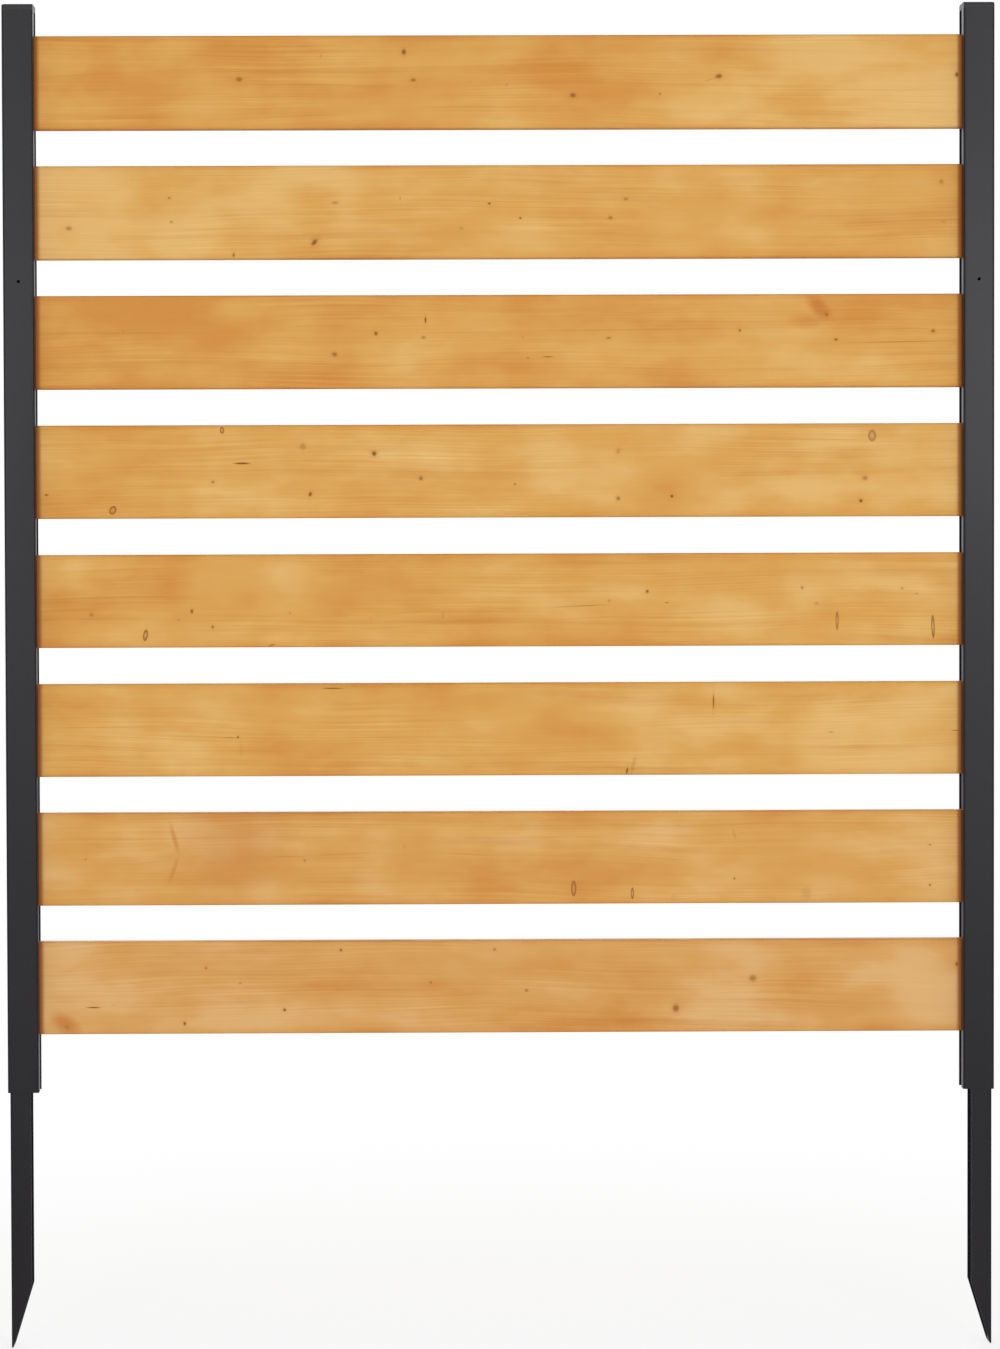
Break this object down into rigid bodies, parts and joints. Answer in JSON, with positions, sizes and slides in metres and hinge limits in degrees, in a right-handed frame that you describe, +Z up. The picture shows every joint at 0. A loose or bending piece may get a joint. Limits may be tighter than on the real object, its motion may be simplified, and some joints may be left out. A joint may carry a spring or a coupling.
{
  "type": "garden privacy screen",
  "caption": "Slatted garden privacy screen: stained wood boards between slotted steel end posts that stand on pointed ground stakes.",
  "frame": {"origin": "on the ground, midway between the posts and halfway through their depth", "axes": "+X along the slats to the right as seen from the front, -Y towards the front, +Z up"},
  "size_m": [0.955, 0.0352, 1.297],
  "materials": {
    "stained_wood": "honey-coloured stain, satin, with grain and small knots",
    "coated_steel": "fine-textured anthracite powder coat",
    "cap_plastic": "moulded, matt",
    "plated_steel": "bright zinc plating"
  },
  "bodies": {
    "root": {"left_post": "coated_steel", "left_post_cap": "cap_plastic", "left_slat_screws": "plated_steel", "left_stake": "coated_steel", "left_stake_bolts": "plated_steel", "left_stake_nuts": "plated_steel", "left_stake_washers": "plated_steel", "right_post": "coated_steel", "right_post_cap": "cap_plastic", "right_slat_screws": "plated_steel", "right_stake": "coated_steel", "right_stake_bolts": "plated_steel", "right_stake_nuts": "plated_steel", "right_stake_washers": "plated_steel", "slat_1": "stained_wood", "slat_2": "stained_wood", "slat_3": "stained_wood", "slat_4": "stained_wood", "slat_5": "stained_wood", "slat_6": "stained_wood", "slat_7": "stained_wood", "slat_8": "stained_wood"}
  },
  "joints": []
}
